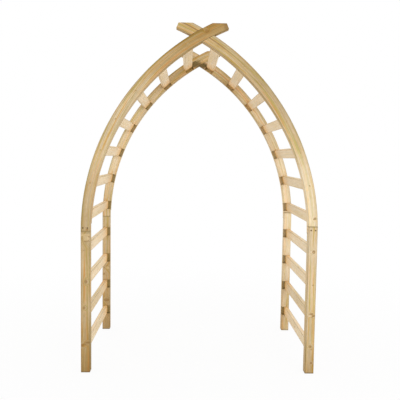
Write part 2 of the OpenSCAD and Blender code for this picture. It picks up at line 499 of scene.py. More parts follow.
print("edges rub darker within", ARRIS[1], "m, glue lines are", 2 * GLUE_SEAM[1], "m wide at most")

# %% [markdown]
# People notice knots, whorls and patches, so these stand at set places on the arch. Each
# is an ellipsoid, given as its centre and three radii. A knot has rings, a rim and bark of
# its own. A whorl is fresh wood with a ragged darker rim. The painted shade under the rear
# crossing and the darker patches at a rafter's tip fray along the streaks, so they don't look
# painted on.

# %% Knots, whorls and patches
# full inside, gone beyond, strength, colour, and how much the streaks fray its rim
PATCH_LOOKS = {
    "fresh": (0.30, 1.10, 0.50, FRESH_WOOD, None),
    "darker_side": (0.50, 1.10, 0.45, DARK_OLIVE, None),
    "crossing_shade": (0.50, 1.15, 0.85, CROSSING_SHADE, 1.6),
    "dark_tip": (0.40, 1.15, 0.55, GLUE_LINE, 1.2),
}


def draw_knots(wood, knots):
    """Knots, with the wood round them darkened."""
    knot = wood.nearest_of(knots) + wood.wobble * 0.5
    in_knot = wood.falls(knot, 0.92, 1.0)
    rings = wood.smooth(wood.maths("FRACT", knot * 4.0), 0.3, 0.9)
    bark = wood.smooth(knot, 0.80, 0.93) * wood.falls(knot, 0.97, 1.12)
    wood.coat(wood.falls(knot, 0.7, 1.9) * 0.45, KNOT_RIM)
    wood.coat(in_knot * (0.25 + 0.30 * rings), KNOT_HEART)
    wood.coat(bark * 0.35, KNOT_HEART)


def draw_whorls(wood, whorls):
    """Whorls, whose distance is roughened so that no rim is a clean ellipse."""
    ragged = wood.noise(wood.vector_maths("MULTIPLY", wood.spot, (90.0, 20.0, 150.0)))
    whorl = wood.nearest_of(whorls) + (ragged - 0.5) * 0.9
    wood.coat(wood.falls(whorl, 0.5, 0.95) * 0.35, FRESH_WOOD)
    rim = wood.smooth(whorl, 0.66, 0.90) * wood.falls(whorl, 1.0, 1.30)
    wood.coat(rim * wood.smooth(ragged, 0.40, 0.62) * 0.75, WHORL_RIM)


def draw_patches(wood, marks):
    """Lays on each kind of patch that the marks give."""
    for mark, (full, gone, strength, tint, raggedness) in PATCH_LOOKS.items():
        if mark in marks:
            off = wood.nearest_of(marks[mark])
            if raggedness:
                off = off + wood.wobble + (wood.broad - 0.5) * raggedness
            wood.coat(wood.falls(off, full, gone) * strength, tint)


print("patches:", ", ".join(PATCH_LOOKS))

# %% [markdown]
# Water creeps up the feet, and a little earth sticks to the lowest centimetre, where painted
# shade darkens it too. The joint lines of the half laps get a painted shadow line. On the outer
# faces, the joint lines of the front right and rear left legs lie higher than the other two.
# The attribute sawn marks the faces cut across the grain. The attribute housing marks the
# inside of the housings, which get painted shade.

# %% The finished timber
JOINT_SHADOW_BAND = (-0.001, 0.005)
FOOT_DAMP = (0.00, 0.26)
FOOT_EARTH_AND_SHADE = (0.002, 0.012)


def shade_joints(wood):
    """Paints shadow along the joint lines, which lie a lap apart on a leg's outer and inner half.
    """
    outer_half = wood.maths("SIGN", wood.maths("ABSOLUTE", wood.spot.part(1)) + MIDDLE)
    same = wood.maths("SIGN", wood.spot.part(0) * wood.spot.part(1)) * outer_half
    joint_height = LAP_MIDDLE - same * (LAP_HEIGHT / 2)
    off_joint = wood.maths("ABSOLUTE", wood.spot.part(2) - joint_height) - wood.patches * 0.005
    wood.coat(wood.falls(off_joint, *JOINT_SHADOW_BAND) * 0.60, JOINT_SHADOW)


def soil_foot(wood):
    """Damp that fades upwards, and earth with painted shade on the lowest edge."""
    height = wood.spot.part(2)
    wood.stain(wood.falls(height + wood.sway * 0.12, *FOOT_DAMP) * 0.75, DAMP_FOOT)
    wood.coat(wood.falls(height + wood.wobble * 0.01, *FOOT_EARTH_AND_SHADE) * 0.60, EARTH_AND_SHADE)


def timber(name, section, pith, ring, marks, streaky=1.0, foot=False, curved=False, slat=False):
    """The finish of one kind of piece."""
    wood = TimberBench(name)
    draw_rings(wood, pith, ring, marks["knots"] + marks.get("whorls", []))
    colour_wood(wood, streaky)
    darken_edges(wood, section, curved)
    if curved:
        draw_glue_line(wood)
    if slat:
        tint_slat_ends(wood)
    draw_knots(wood, marks["knots"])
    if "whorls" in marks:
        draw_whorls(wood, marks["whorls"])
    draw_patches(wood, marks)
    if not slat:
        shade_joints(wood)
    if foot:
        soil_foot(wood)
    sawn = wood.attribute("sawn")
    wood.stain(sawn * 0.80, SAWN_END)
    # painted shade inside the housings
    wood.coat(wood.attribute("housing") * 0.76, DARK_OLIVE)
    relief = wood.late * 0.25 + wood.fibre * 0.50 - wood.fleck * 0.6
    rough = 0.66 + 0.16 * wood.fibre + 0.10 * sawn - 0.08 * wood.late
    wood.surface(wood.colour, rough, wood.bump(0.35, 0.0006, relief), {"Specular IOR Level": 0.3})
    return wood.material


print("joint lines at", [round(LAP_MIDDLE + s * LAP_HEIGHT / 2, 3) for s in (-1, 1)], "m")

# %% [markdown]
# These are the places of the marks, as centres and radii in metres. They are places on the
# whole arch and not on one piece, so one material can serve all pieces of a kind. Most
# lie on the near faces. A few are on the far frame, which shows through the walkway.

# %% Where the marks are
POST_MARKS = {
    "knots": [
        ((-0.717, -0.48, 0.590), (0.008, 0.05, 0.011)),
        ((-0.729, -0.48, 0.421), (0.007, 0.05, 0.009)),
        ((-0.744, -0.48, 0.177), (0.012, 0.04, 0.008)),
        ((-0.727, -0.48, 0.184), (0.011, 0.04, 0.005)),
        ((-0.706, -0.48, 0.196), (0.014, 0.04, 0.006)),
        ((0.744, -0.48, 0.380), (0.015, 0.05, 0.006)),
        ((0.724, -0.48, 0.392), (0.013, 0.05, 0.005)),
        ((0.728, -0.48, 0.795), (0.008, 0.05, 0.009)),
        ((0.724, -0.48, 0.178), (0.007, 0.05, 0.007)),
        ((0.731, -0.48, 0.070), (0.006, 0.04, 0.006)),
        ((-0.737, 0.42, 0.450), (0.007, 0.04, 0.007)),
        ((-0.716, 0.42, 0.238), (0.020, 0.04, 0.010)),
    ],
    "whorls": [
        ((-0.716, -0.48, 0.866), (0.026, 0.04, 0.021)),
        ((-0.712, 0.42, 0.499), (0.026, 0.04, 0.016)),
    ],
    "fresh": [((-0.7215, -0.48, 0.887), (0.050, 0.05, 0.010))],
    # darker low down on the front left post's inner face
    "darker_side": [((-0.690, -0.45, 0.19), (0.009, 0.06, 0.28))],
}
RAFTER_MARKS = {
    "knots": [
        ((0.027, -0.48, 2.160), (0.011, 0.03, 0.009)),
        ((0.728, -0.48, 1.008), (0.007, 0.04, 0.007)),
        ((0.745, -0.48, 1.100), (0.005, 0.04, 0.006)),
        ((-0.708, -0.48, 0.924), (0.006, 0.04, 0.007)),
    ],
    # painted shade under the rear crossing
    "crossing_shade": [
        ((-0.030, 0.43, 2.098), (0.050, 0.05, 0.034)),
        ((0.003, 0.43, 2.100), (0.060, 0.05, 0.032)),
        ((0.031, 0.43, 2.098), (0.046, 0.05, 0.034)),
    ],
    # darker at the front left rafter's tip
    "dark_tip": [
        ((0.146, -0.48, 2.195), (0.020, 0.03, 0.040)),
        ((0.110, -0.48, 2.211), (0.045, 0.03, 0.007)),
    ],
}
SLAT_MARKS = {
    "knots": [
        ((0.729, 0.0, 0.158), (0.020, 0.009, 0.007)),
        ((-0.729, -0.05, 0.578), (0.020, 0.008, 0.006)),
    ],
}
print("knots:", [len(marks["knots"]) for marks in (POST_MARKS, RAFTER_MARKS, SLAT_MARKS)])

# %% [markdown]
# Posts, rafters and slats are sawn from different parts of a log, so each kind has its own
# pith, given by its distances across and through the timber, and its own ring width. The
# section says where the planed edges are: its middle, its width and its thickness.

# %% A finish for each kind of piece
POST_SECTION = (POST_WIDTH / 2, POST_WIDTH, TIMBER)
RAFTER_SECTION = (RAFTER_WIDTH / 2, RAFTER_WIDTH, TIMBER)
SLAT_SECTION = (0.0, SLAT_THICKNESS, SLAT_WIDTH)
post_wood = timber("post_timber", POST_SECTION, (0.16, 0.10), 0.0052, POST_MARKS, foot=True)
rafter_wood = timber(
    "rafter_timber", RAFTER_SECTION, (0.20, 0.08), 0.0060, RAFTER_MARKS, streaky=1.12, curved=True
)
slat_wood = timber(
    "slat_timber", SLAT_SECTION, (0.06, 0.12), 0.0058, SLAT_MARKS, streaky=0.55, slat=True
)
print("timber finishes:", [m.name for m in (post_wood, rafter_wood, slat_wood)])

# %% [markdown]
# The screws are zinc plated steel that has dulled outdoors. A metal without any change
# over its surface looks like plastic, so a fine noise breaks up its shine, and a coarser
# one lets a little brown into the low places.

# %% Dull steel
TARNISH_SCALE = 420.0
GRIT_SCALE = 2600.0


def dull_steel(name, plating, tarnished):
    """Plated steel that has dulled, between its clean colour and its tarnish."""
    material = bpy.data.materials.new(name)
    bench = Bench(empty_tree(material))
    spot = bench.node("ShaderNodeTexCoord", output="Object")
    tarnish = bench.smooth(bench.noise(spot, 3.0, scale=TARNISH_SCALE), 0.48, 0.70)
    grit = bench.noise(spot, scale=GRIT_SCALE)
    plate = bench.mix(tarnish, plating, tarnished)
    rough = 0.42 + 0.25 * grit + 0.15 * tarnish
    bench.surface(plate, rough, bench.bump(0.3, 0.0001, grit), {"Metallic": 1 - 0.55 * tarnish})
    return material


YELLOW_PLATING = colour(206, 180, 132)
YELLOW_TARNISH = colour(166, 138, 94)
BROWN_PLATING = colour(128, 106, 78)
BROWN_TARNISH = colour(92, 70, 48)
slat_screw_steel = dull_steel("yellow_plated_steel", YELLOW_PLATING, YELLOW_TARNISH)
joint_screw_steel = dull_steel("browned_steel", BROWN_PLATING, BROWN_TARNISH)
print("steel finishes:", slat_screw_steel.name, joint_screw_steel.name)

# %% [markdown]
# Posts and slats are the same kind of thing: a square or flat stick with its four long
# edges eased by a plane. One helper draws the eased outline, sweeps it along a straight
# line and stores the grain, so that the trees of both can start from it.

# %% The planed stick
EASED_EDGE = 0.0035
EDGE_FACETS = 4
STICK_ROWS = 17
SAWN_FROM, SAWN_FULL = 0.7, 0.9


def eased_outline(bench, width, height, edge):
    """A rectangle with rounded corners, as a curve round the origin."""
    sizes = {"Width": width, "Height": height}
    plain = bench.node("GeometryNodeCurvePrimitiveQuadrilateral", inputs=sizes)
    rounding = {"Curve": plain, "Count": EDGE_FACETS, "Radius": edge}
    return bench.node("GeometryNodeFilletCurve", {"mode": "POLY"}, rounding)


def sweep(bench, path, outline):
    """Sweeps an outline along a path, without any twist, and closes both ends."""
    level = bench.node("GeometryNodeSetCurveNormal", {"mode": "Z_UP"}, {"Curve": path})
    ends = {"Curve": level, "Profile Curve": outline, "Fill Caps": True}
    return bench.node("GeometryNodeCurveToMesh", inputs=ends)


def store(bench, geometry, title, value, kind="FLOAT", domain="POINT"):
    """Keeps a number or a vector on the mesh under a name, for the finish to read."""
    return bench.node(
        "GeometryNodeStoreNamedAttribute",
        {"data_type": kind, "domain": domain},
        {"Geometry": geometry, "Name": title, "Value": value},
    )


def planed_stick(bench, width, height, length, edge):
    """A stick along Y, centred on the origin, with its grain and its sawn ends stored."""
    half = length * 0.5
    ends = {"Start": bench.vector(0.0, half * -1.0, 0.0), "End": bench.vector(0.0, half, 0.0)}
    path = bench.node("GeometryNodeCurvePrimitiveLine", inputs=ends)
    rows = {"Curve": path, "Count": STICK_ROWS}
    path = bench.node("GeometryNodeResampleCurve", {"mode": "COUNT"}, rows)
    stick = sweep(bench, path, eased_outline(bench, width, height, edge))
    place = bench.node("GeometryNodeInputPosition")
    grain = bench.vector(place.part(1), place.part(0), place.part(2))
    stick = store(bench, stick, "grain", grain, "FLOAT_VECTOR")
    facing = bench.maths("ABSOLUTE", bench.node("GeometryNodeInputNormal").part(1))
    return store(bench, stick, "sawn", bench.smooth(facing, SAWN_FROM, SAWN_FULL), domain="FACE")


print("a straight stick has", STICK_ROWS, "rows of points")

# %% [markdown]
# A post is the plainest stick. Its tree only stands the stick upright, with its foot on
# the ground, where the front right post stands.

# %% The tree of the posts
def post_tree():
    """A stick stood upright where the front right post stands."""
    bench, size = geometry_bench("planed_post", ["Width", "Thickness", "Length", "Edge"])
    stick = planed_stick(bench, size["Width"], size["Thickness"], size["Length"], size["Edge"])
    middle = bench.vector(POST_MIDDLE, MIDDLE, size["Length"] * 0.5)
    turn = {"Geometry": stick, "Translation": middle, "Rotation": (math.pi / 2, 0.0, 0.0)}
    return finish_tree(bench, bench.node("GeometryNodeTransform", inputs=turn), size["Finish"])


post_stick_tree = post_tree()
print("post tree has", len(post_stick_tree.nodes), "nodes")

# %% [markdown]
# A rafter follows a rule: its two edges are arcs with different centres. Bending a straight
# stick would need a curve modifier and would keep one width, so a tree sweeps the eased
# outline along an arc and then moves every point in or out, until the depth of the timber
# is the distance between the two arcs.

# %% The tree of the rafters
ARC_STEPS = 108


def rafter_tree():
    """A whole rafter where the front right one stands, before any joint is cut."""
    sizes = ["Radius", "Width", "Thickness", "Edge", "Inner Drop", "Sweep"]
    bench, size = geometry_bench("curved_rafter", sizes)
    arc = bench.node(
        "GeometryNodeCurveArc",
        inputs={
            "Resolution": ARC_STEPS,
            "Radius": size["Radius"] - size["Width"] * 0.5,
            "Start Angle": 0.0,
            "Sweep Angle": size["Sweep"],
        },
    )
    swept = sweep(bench, arc, eased_outline(bench, size["Width"], size["Thickness"], size["Edge"]))

    place = bench.node("GeometryNodeInputPosition")
    angle = bench.maths("ARCTAN2", place.part(1), place.part(0))
    sine = bench.maths("SINE", angle)
    cosine = bench.maths("COSINE", angle)
    plain_depth = size["Radius"] - (place.part(0) ** 2.0 + place.part(1) ** 2.0) ** 0.5
    inner = size["Radius"] - size["Width"]
    drop = size["Inner Drop"]
    inner_edge = (inner ** 2.0 - (drop * cosine) ** 2.0) ** 0.5 - drop * sine
    depth = plain_depth * (size["Radius"] - inner_edge) / size["Width"]
    reach = size["Radius"] - depth
    x, z = CURVE_X + reach * cosine, SPRING_HEIGHT + reach * sine
    moved = {"Geometry": swept, "Position": bench.vector(x, MIDDLE - place.part(2), z)}
    bent = bench.node("GeometryNodeSetPosition", inputs=moved)
    return finish_tree(bench, bent, size["Finish"])


rafter_stick_tree = rafter_tree()
print("rafter tree has", len(rafter_stick_tree.nodes), "nodes")

# %% [markdown]
# The joints are cut as a joiner would cut them, after the sticks are planed. Every cutter
# is either a flat outline in the plane of the frame with a thickness through it, or a
# drilled and countersunk screw hole. All of one stick's cutters go into one mesh, because
# none of them touches another, and one exact Boolean takes them out.

# %% Cutters for the joints
HEAD_RADIUS = 0.005
HEAD_HEIGHT = 0.00325
HEAD_SINK = 0.001
SHANK_RADIUS = 0.0025
HOLE_SIDES = 24
HOLE_CLEARANCE = 0.0002
HOLE_START = -0.002
HOLE_DEPTH = 0.012
BEYOND = 0.05
JOINT_LINE = 0.0006
FRONT_HALF = (FRONT_FACE - BEYOND, MIDDLE)
REAR_HALF = (MIDDLE, BACK_FACE + BEYOND)


class Cutters:
    """Closed blocks and screw holes, gathered into one mesh."""

    def __init__(self):
        self.mesh = bmesh.new()

    def block(self, outline, low, high):
        """A flat outline of (x, z) points, made solid from y = low to y = high."""
        near = [self.mesh.verts.new((x, low, z)) for x, z in outline]
        far = [self.mesh.verts.new((x, high, z)) for x, z in outline]
        self.mesh.faces.new(near)
        self.mesh.faces.new(far[::-1])
        for here in range(len(outline)):
            after = (here + 1) % len(outline)
            self.mesh.faces.new((near[here], far[here], far[after], near[after]))

    def upright(self, x_low, x_high, z_low, z_high, low, high):
        """A block whose outline is a level rectangle."""
        self.block([(x_low, z_low), (x_high, z_low), (x_high, z_high), (x_low, z_high)], low, high)

    def screw_hole(self, x, z, face, inwards):
        """A countersunk hole in the face at y = face, drilled towards inwards, +1 or -1."""
        wide, narrow = HEAD_RADIUS + HOLE_CLEARANCE, SHANK_RADIUS + HOLE_CLEARANCE
        cone_end = HEAD_SINK + HEAD_HEIGHT
        radii = {HOLE_START: wide, HEAD_SINK: wide, cone_end: narrow, HOLE_DEPTH: narrow}
        turns = [math.tau * k / HOLE_SIDES for k in range(HOLE_SIDES)]
        rings = []
        for depth, radius in radii.items():
            y = face + inwards * depth
            ring = [(x + radius * math.cos(t), y, z + radius * math.sin(t)) for t in turns]
            rings.append([self.mesh.verts.new(p) for p in ring])
        self.mesh.faces.new(rings[0])
        self.mesh.faces.new(rings[-1][::-1])
        for ring, deeper in zip(rings, rings[1:]):
            for here in range(HOLE_SIDES):
                after = (here + 1) % HOLE_SIDES
                self.mesh.faces.new((ring[here], deeper[here], deeper[after], ring[after]))

    def cut(self, piece):
        """Takes the cutters out of a piece."""
        bmesh.ops.recalc_face_normals(self.mesh, faces=self.mesh.faces)
        mesh = bpy.data.meshes.new("cutters")
        self.mesh.to_mesh(mesh)
        self.mesh.free()
        tool = new_object("cutters", mesh)
        saw = piece.modifiers.new("joints", "BOOLEAN")
        saw.operation = "DIFFERENCE"
        saw.solver = "EXACT"
        saw.object = tool
        settle(piece)
        bpy.data.objects.remove(tool)


print("screw holes have", HOLE_SIDES, "sides and are", HOLE_DEPTH, "m deep")

# %% [markdown]
# Three outlines are cut. A slat's housing stands square to the inner curve. Where two
# rafters cross, each loses the other one's band from half its thickness. The near frame
# shows straight inner edges, so its housings are closed round the slats. The far frame
# shows dark notches, so its housings are open to the walkway.

# %% Outlines of the joints
BAND_BEFORE, BAND_AFTER, BAND_STEPS = 0.11, 0.05, 28


def turned(outline, angle):
    """An outline of (depth, along) points on the inner curve, as (x, z) points."""
    points = []
    for reach, along in outline:
        x = CURVE_X + (INNER_RADIUS + reach) * math.cos(angle) - along * math.sin(angle)
        z = INNER_HEIGHT + (INNER_RADIUS + reach) * math.sin(angle) + along * math.cos(angle)
        points.append((x, z))
    return points


def mirrored_band(fit):
    """The other rafter's outline where the two cross, a little larger all round."""
    low, high = CROSS_ANGLE - BAND_BEFORE, TIP_ANGLE + BAND_AFTER
    turns = [low + (high - low) * k / BAND_STEPS for k in range(BAND_STEPS + 1)]

    def edge(radius, height):
        return [(-(CURVE_X + radius * math.cos(t)), height + radius * math.sin(t)) for t in turns]

    return edge(OUTER_RADIUS + fit, SPRING_HEIGHT) + edge(INNER_RADIUS - fit, INNER_HEIGHT)[::-1]


def housing_outline(end):
    """A slat's housing, closed round it in the front frame and open inwards in the rear."""
    half = SLAT_WIDTH / 2 + SLAT_FIT
    start = SLAT_RECESS - SLAT_FIT if end == FRONT else -BEYOND
    deep = SLAT_RECESS + SLAT_THICKNESS + SLAT_FIT
    return [(start, -half), (deep, -half), (deep, half), (start, half)]


print("housings are", round(SLAT_RECESS + SLAT_THICKNESS + SLAT_FIT, 4), "m deep")

# %% [markdown]
# The slats are screwed from the outer face of each frame, so every slat has a screw head
# on the face that people see. The half laps and the crossings have two screws each.

# %% Where the screws go
LAP_SCREW_SPREAD = 0.0145
CROSSING_SPREAD = 0.022


def slat_place(number):
    """A slat's middle and tilt on the right side, counted from 0 at the ground."""
    if number < LEG_SLATS:
        return POST_INNER + SLAT_MIDDLE, LOWEST_SLAT + number * LEG_PITCH, 0.0
    angle = FIRST_ANGLE + (number - LEG_SLATS) * ANGLE_PITCH
    return turned([(SLAT_MIDDLE, 0.0)], angle)[0] + (angle,)


slat_screws = [slat_place(n)[:2] for n in range(LEG_SLATS + CURVE_SLATS)]
lap_screws = [(POST_MIDDLE + s * LAP_SCREW_SPREAD, LAP_MIDDLE) for s in (-1, 1)]
crossing_top = SPRING_HEIGHT + math.sqrt(OUTER_RADIUS**2 - CURVE_X**2)
crossing_bottom = INNER_HEIGHT + math.sqrt(INNER_RADIUS**2 - CURVE_X**2)
crossing_middle = (crossing_top + crossing_bottom) / 2
crossing_screws = [(s * CROSSING_SPREAD, crossing_middle) for s in (-1, 1)]
print("crossing from", round(crossing_bottom, 4), "to", round(crossing_top, 4))

# %% [markdown]
# After the cuts, numbers are stored on the mesh for the finish to read. The grain comes
# from where each point lies in the stick. A face that looks along the grain is sawn. Numpy
# does this for the whole mesh at once, which is much faster than point by point.

# %% Grain on a cut stick
def write_attribute(mesh, title, values, kind="FLOAT", domain="POINT"):
    """Keeps a number or a vector for every point or face of a mesh."""
    layer = mesh.attributes.get(title) or mesh.attributes.new(title, kind, domain)
    field = "vector" if kind == "FLOAT_VECTOR" else "value"
    layer.data.foreach_set(field, np.ascontiguousarray(values, dtype=np.float32).ravel())


def corners(mesh):
    """The places of a mesh's points, one row each."""
    places = np.empty(len(mesh.vertices) * 3, dtype=np.float32)
    mesh.vertices.foreach_get("co", places)
    return places.reshape(-1, 3)


def store_grain(mesh, grain, direction_at):
    """Keeps the grain at every point, and marks the faces that are cut across it."""
    write_attribute(mesh, "grain", grain, "FLOAT_VECTOR")
    middles = np.array([f.center for f in mesh.polygons])
    facing = np.array([f.normal for f in mesh.polygons])
    across_grain = np.abs((facing * direction_at(middles)).sum(axis=1))
    sawn = (across_grain - SAWN_FROM) / (SAWN_FULL - SAWN_FROM)
    write_attribute(mesh, "sawn", np.clip(sawn, 0.0, 1.0), domain="FACE")


print("a face is sawn where it looks along the grain by more than", SAWN_FROM)

# %% [markdown]
# The inside of a housing gets painted shade. Its faces are found by where they lie, because
# the Boolean gives them no name. The painted shade gets paler from the foot of a leg to its
# top, and does so sooner on the right.

# %% Painted shade in the housings
HOUSING_SHADE_DARKNESS = {
    LEFT: (0.95, 0.98, 1.00, 0.50),
    RIGHT: (0.92, 0.83, 0.38, 0.02),
}


def shade_housings(mesh, numbers, side):
    """Marks the faces that lie wholly inside the numbered slats' housings, for painted shade."""
    points = corners(mesh)
    shaded_faces = np.zeros(len(mesh.polygons))
    behind = points[:, 1] > MIDDLE - SLAT_FIT
    stops = np.linspace(0, LEG_SLATS + CURVE_SLATS - 1, len(HOUSING_SHADE_DARKNESS[side]))
    for number in numbers:
        darkness = np.interp(number, stops, HOUSING_SHADE_DARKNESS[side])
        x, z, tilt = slat_place(number)
        aside, above = points[:, 0] - x, points[:, 2] - z
        along = above * math.cos(tilt) - aside * math.sin(tilt)
        outwards = aside * math.cos(tilt) + above * math.sin(tilt)
        in_width = np.abs(along) < SLAT_WIDTH / 2 + 2 * SLAT_FIT
        in_depth = np.abs(outwards) < SLAT_MIDDLE + SLAT_THICKNESS
        inside = in_width & in_depth & behind
        for face in mesh.polygons:
            if inside[face.vertices[0]] and inside[list(face.vertices)].all():
                shaded_faces[face.index] = darkness
    write_attribute(mesh, "housing", shaded_faces, domain="FACE")


# how dark the painted shade in the housings is, from the foot up
print("housing stain from the foot up:", HOUSING_SHADE_DARKNESS[LEFT], HOUSING_SHADE_DARKNESS[RIGHT])

# %% [markdown]
# No two sticks of an arch come from the same plank. Each has its own tone, which drifts
# from its foot to its top, and its own number, which picks its part of the log. The rear
# sticks' tones are paler too, as painted light where the rear frame gets less light. Each
# rafter has its own glue line: how far in it lies, and how dark it is low down and high up.

# %% Tones and glue lines
POST_TONES_AND_LIGHT = {
    (FRONT, LEFT): (0.17, 0.22, 0.27, 0.34),
    (FRONT, RIGHT): (0.38, 0.42, 0.64, 0.58),
    (REAR, LEFT): (0.20, 0.25, 0.40, 0.58),
    (REAR, RIGHT): (0.74, 0.54, 0.86, 0.98),
}
RAFTER_TONES_AND_LIGHT = {
    (FRONT, LEFT): (0.23, 0.56, 0.54, 0.18, 0.00),
    (FRONT, RIGHT): (1.00, 0.84, 0.36, 0.30, 0.42),
    (REAR, LEFT): (0.60, 0.82, 0.70, 0.40, 0.26),
    (REAR, RIGHT): (1.00, 0.88, 0.62, 0.28, 0.52),
}
GLUE_LINES = {
    (FRONT, LEFT): (0.039, 0.16, 0.30),
    (FRONT, RIGHT): (0.028, 0.05, 0.72),
    (REAR, LEFT): (0.034, 0.10, 0.16),
    (REAR, RIGHT): (0.031, 0.10, 0.45),
}
GLUE_LOW, GLUE_HIGH = 0.2, 0.8
shuffle = random.Random(11)


def give_tone(mesh, grain, tones, stick):
    """Lets the tone drift evenly through the given values from one end to the other."""
    along = grain[:, 0]
    stops = np.linspace(along.min(), along.max(), len(tones))
    write_attribute(mesh, "tone", np.interp(along, stops, tones))
    write_attribute(mesh, "stick", np.full(len(mesh.vertices), stick))


def give_glue_line(mesh, grain, place, low, high):
    """Says where the glue line lies, and lets its darkness drift from low down to high up."""
    share = grain[:, 0] / grain[:, 0].max()
    write_attribute(mesh, "seam", np.full(len(mesh.vertices), place))
    write_attribute(mesh, "seam_strength", np.interp(share, (GLUE_LOW, GLUE_HIGH), (low, high)))


print("post tones:", POST_TONES_AND_LIGHT)
print("rafter tones:", RAFTER_TONES_AND_LIGHT)

# %% [markdown]
# Every post and rafter is made as if for the front right corner and then mirrored into its
# place, where its faces are turned the right way again. The rear frame has the same joints
# turned about, so a corner gets its tongue on one face or on the other. Smooth shading
# with weighted normals keeps the flats flat, rounds the eased edges and leaves cuts sharp.

# %% Finishing a cut stick
SHARP_TIMBER = math.radians(32)


def set_in_place(mesh, end, side):
    """Mirrors a mesh into its corner, with its faces still pointing outwards."""
    places = corners(mesh) * np.array([side, end, 1.0], dtype=np.float32)
    mesh.vertices.foreach_set("co", places.ravel())
    if side * end < 0:
        mesh.flip_normals()
    mesh.update()


def ease_shading(piece):
    """Shades the eased edges round, and keeps flat faces flat and cuts sharp."""
    piece.data.shade_smooth()
    piece.data.set_sharp_from_angle(angle=SHARP_TIMBER)
    weigh = piece.modifiers.new("weigh", "WEIGHTED_NORMAL")
    weigh.keep_sharp = True
    weigh.weight = 100
    return settle(piece)


def finish_stick(piece, corner, grain, direction_at, numbers, tones):
    """Stores what the finish reads, then sets the stick in its corner."""
    store_grain(piece.data, grain, direction_at)
    shade_housings(piece.data, numbers, corner[1])
    give_tone(piece.data, grain, tones[corner], shuffle.random())
    set_in_place(piece.data, *corner)
    return ease_shading(piece)


print("cuts stay sharp beyond", round(math.degrees(SHARP_TIMBER)), "degrees")

# %% [markdown]
# The four posts. Half of each post's thickness goes on upwards as the tongue of the half
# lap. A straight stick is all that a post is, so its tree is run as it is, and what makes
# it a post is cut afterwards: the tongue, the housings and the screw holes.

# %% Posts
def straight_up(middles):
    """Which way the grain runs in a post, which is the same at every place."""
    return np.array([0.0, 0.0, 1.0])


def make_post(end, side):
    """One post, cut as if for the front right corner, in its place."""
    tongue_in_front = end * side == RIGHT
    piece = from_tree(
        leg_name(end, side) + "_post_timber",
        post_stick_tree,
        {
            "Width": POST_WIDTH,
            "Thickness": TIMBER,
            "Length": SHOULDER,
            "Edge": EASED_EDGE,
            "Finish": post_wood,
        },
    )
    cutters = Cutters()
    lap = (POST_INNER - BEYOND, HALF_WIDTH + BEYOND, SPRING_HEIGHT, SHOULDER + BEYOND)
    cutters.upright(*lap, *(REAR_HALF if tongue_in_front else FRONT_HALF))
    for number in range(LEG_SLATS):
        x, z, _ = slat_place(number)
        outline = [(POST_INNER + a, z + b) for a, b in housing_outline(end)]
        cutters.block(outline, *REAR_HALF)
        cutters.screw_hole(x, z, FRONT_FACE, 1)
    if tongue_in_front:
        for x, z in lap_screws:
            cutters.screw_hole(x, z, FRONT_FACE, 1)
    cutters.cut(piece)
    places = corners(piece.data)
    grain = np.stack([places[:, 2], places[:, 0] - POST_INNER, places[:, 1] - MIDDLE], axis=1)
    return finish_stick(piece, (end, side), grain, straight_up, range(LEG_SLATS), POST_TONES_AND_LIGHT)


posts = {corner: make_post(*corner) for corner in CORNERS}
for corner, piece in posts.items():
    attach(piece, "root")
    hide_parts(leg_name(*corner) + "_post")
print("posts:", {p.name: len(p.data.polygons) for p in posts.values()})

# %% [markdown]
# The four rafters. A rafter's foot laps over the post's tongue, its housings stand square
# to the inner curve, and at the crossing it keeps the front or the rear half of its
# thickness. The tip is cut level at the very top.

# %% Rafters
TOP_CUT = (-0.3, 0.4)


def direction_of_curve(middles):
    """Which way the grain runs at each place on a rafter."""
    reach = middles - np.array([CURVE_X, 0.0, SPRING_HEIGHT])
    ahead = np.stack([-reach[:, 2], np.zeros(len(reach)), reach[:, 0]], axis=1)
    return ahead / np.linalg.norm(ahead, axis=1, keepdims=True)


def make_rafter(end, side):
    """One rafter, cut as if for the front right corner, in its place."""
    in_front = end * side == LEFT
    piece = from_tree(
        leg_name(end, side) + "_rafter_timber",
        rafter_stick_tree,
        {
            "Radius": OUTER_RADIUS,
            "Width": RAFTER_WIDTH,
            "Thickness": TIMBER,
            "Edge": EASED_EDGE,
            "Inner Drop": INNER_DROP,
            "Sweep": TIP_ANGLE,
            "Finish": rafter_wood,
        },
    )
    cut_away = REAR_HALF if in_front else FRONT_HALF
    numbers = range(LEG_SLATS, LEG_SLATS + CURVE_SLATS)
    cutters = Cutters()
    cutters.upright(*TOP_CUT, TOP_HEIGHT, TOP_HEIGHT + 2 * BEYOND, FRONT_HALF[0], REAR_HALF[1])
    lap = (POST_INNER - BEYOND, HALF_WIDTH + BEYOND, SPRING_HEIGHT - BEYOND, SHOULDER + JOINT_LINE)
    cutters.upright(*lap, *cut_away)
    cutters.block(mirrored_band(SLAT_FIT), *cut_away)
    for number in numbers:
        x, z, angle = slat_place(number)
        cutters.block(turned(housing_outline(end), angle), *REAR_HALF)
        cutters.screw_hole(x, z, FRONT_FACE, 1)
    if in_front:
        for x, z in lap_screws:
            cutters.screw_hole(x, z, FRONT_FACE, 1)
    else:
        for x, z in crossing_screws:
            cutters.screw_hole(x, z, BACK_FACE, -1)
    cutters.cut(piece)
    places = corners(piece.data)
    x, z = places[:, 0] - CURVE_X, places[:, 2] - SPRING_HEIGHT
    lengthways = np.arctan2(z, x) * OUTER_RADIUS
    inwards = OUTER_RADIUS - np.hypot(x, z)
    grain = np.stack([lengthways, inwards, places[:, 1] - MIDDLE], axis=1)
    give_glue_line(piece.data, grain, *GLUE_LINES[end, side])
    return finish_stick(piece, (end, side), grain, direction_of_curve, numbers, RAFTER_TONES_AND_LIGHT)


rafters = {corner: make_rafter(*corner) for corner in CORNERS}
for corner, piece in rafters.items():
    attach(piece, "root")
    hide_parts(leg_name(*corner) + "_rafter")
print("rafters:", {p.name: len(p.data.polygons) for p in rafters.values()})

